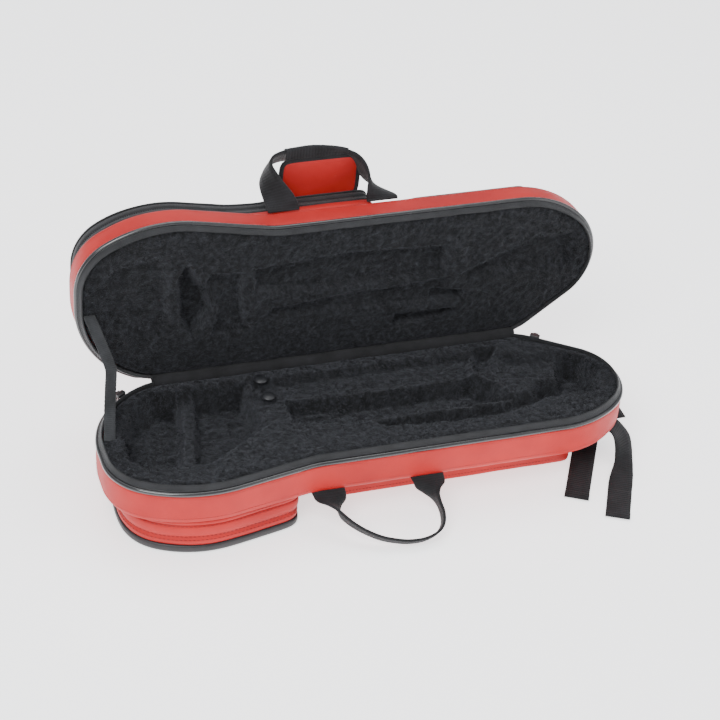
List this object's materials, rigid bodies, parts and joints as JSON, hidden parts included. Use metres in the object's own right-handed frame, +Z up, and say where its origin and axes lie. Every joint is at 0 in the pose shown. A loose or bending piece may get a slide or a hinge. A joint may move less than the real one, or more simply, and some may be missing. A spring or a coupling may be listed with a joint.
{
  "type": "shaped instrument case",
  "caption": "Shaped zip-up case for a wind instrument, lid open on a webbing stay, plush-lined recesses, outside pockets, webbing handles and loose strap tails.",
  "frame": {"origin": "on the floor under the middle of the rim line, on the underside of the strap pocket", "axes": "+X along the hinge from the bell end to the neck end, +Y towards the hinge and the open lid, +Z up"},
  "size_m": [0.6905, 0.4009, 0.358],
  "materials": {
    "shell_leatherette": "fine-grained red leatherette, satin",
    "zip_tape": "grey-black woven zip tape",
    "hinge_tape": "dark woven tape",
    "zip_teeth": "black moulded coil",
    "piping": "glossy black vinyl piping",
    "plush": "long crushed black plush",
    "studs": "smooth dark cap",
    "bumper": "smooth black edge guard",
    "webbing": "black nylon webbing",
    "stay_webbing": "ribbed grey-black tape",
    "binding": "black binding tape",
    "hook_strip": "hook tape, matt",
    "slider_metal": "black painted slider"
  },
  "bodies": {
    "base": {"base_shell": "shell_leatherette", "base_zip_tape": "zip_tape", "base_zip_teeth": "zip_teeth", "base_piping": "piping", "base_hinge_tape": "hinge_tape", "base_lining": "plush", "stud_rear": "studs", "stud_front": "studs", "bell_pocket_gusset": "shell_leatherette", "bell_pocket_bumper": "bumper", "strap_pocket": "shell_leatherette", "base_handle_anchors": "webbing", "strap_anchor_left": "webbing", "strap_tail_left": "webbing", "strap_anchor_right": "webbing", "strap_tail_right": "webbing", "lid_stay": "stay_webbing", "main_slider_left": "slider_metal", "main_slider_right": "slider_metal", "bell_pocket_zip": "zip_tape", "bell_pocket_slider": "slider_metal"},
    "lid": {"lid_shell": "shell_leatherette", "lid_zip_tape": "zip_tape", "lid_zip_teeth": "zip_teeth", "lid_piping": "piping", "lid_hinge_tape": "hinge_tape", "lid_lining": "plush", "lid_pocket_gusset": "shell_leatherette", "lid_pocket_zip_band": "zip_tape", "lid_pocket_panel": "shell_leatherette", "small_pocket_binding": "binding", "small_pocket_panel": "shell_leatherette", "lid_handle_anchors": "webbing", "lid_pocket_slider": "slider_metal"},
    "lid_handle": {"lid_handle_loop": "webbing", "grip_hook_strip": "hook_strip"},
    "grip_pad": {"grip_pad_panel": "shell_leatherette", "grip_pad_binding": "binding", "grip_pad_flap": "binding"},
    "base_handle": {"base_handle_loop": "webbing"},
    "main_pull_left": {"main_pull_left": "slider_metal"},
    "main_pull_right": {"main_pull_right": "slider_metal"},
    "bell_pocket_pull": {"bell_pocket_pull": "slider_metal"},
    "lid_pocket_pull": {"lid_pocket_pull": "slider_metal"}
  },
  "joints": [
    {"name": "lid_hinge", "type": "hinge", "parent": "base", "child": "lid", "pos_m": [0, 0.1, 0.108], "axis": [1, 0, 0], "range_deg": [0, 94.4], "deforming": ["lid_stay"]},
    {"name": "lid_handle_swing", "type": "hinge", "parent": "lid", "child": "lid_handle", "pos_m": [-0.005, 0.16263, 0.29625], "axis": [1, 0, 0], "range_deg": [0, 80]},
    {"name": "grip_pad_swing", "type": "hinge", "parent": "lid_handle", "child": "grip_pad", "pos_m": [-0.005, 0.20813, 0.35602], "axis": [1, 0, 0], "range_deg": [0, 12]},
    {"name": "base_handle_swing", "type": "hinge", "parent": "base", "child": "base_handle", "pos_m": [-0.009, -0.0955, 0.0488], "axis": [-1, 0, 0], "range_deg": [0, 60]},
    {"name": "main_pull_left_swing", "type": "hinge", "parent": "base", "child": "main_pull_left", "pos_m": [-0.2938, 0.09176, 0.1035], "axis": [0.8191, 0.5736, 0], "range_deg": [0, 80]},
    {"name": "main_pull_right_swing", "type": "hinge", "parent": "base", "child": "main_pull_right", "pos_m": [0.26635, 0.09477, 0.1035], "axis": [0.766, -0.6428, 0], "range_deg": [0, 80]},
    {"name": "bell_pocket_pull_swing", "type": "hinge", "parent": "base", "child": "bell_pocket_pull", "pos_m": [-0.09715, 0.043, 0.036], "axis": [0, -1, 0], "range_deg": [0, 60]},
    {"name": "lid_pocket_pull_swing", "type": "hinge", "parent": "lid", "child": "lid_pocket_pull", "pos_m": [0.05465, 0.17761, 0.20434], "axis": [0, -0.9971, 0.0767], "range_deg": [0, 60]}
  ]
}
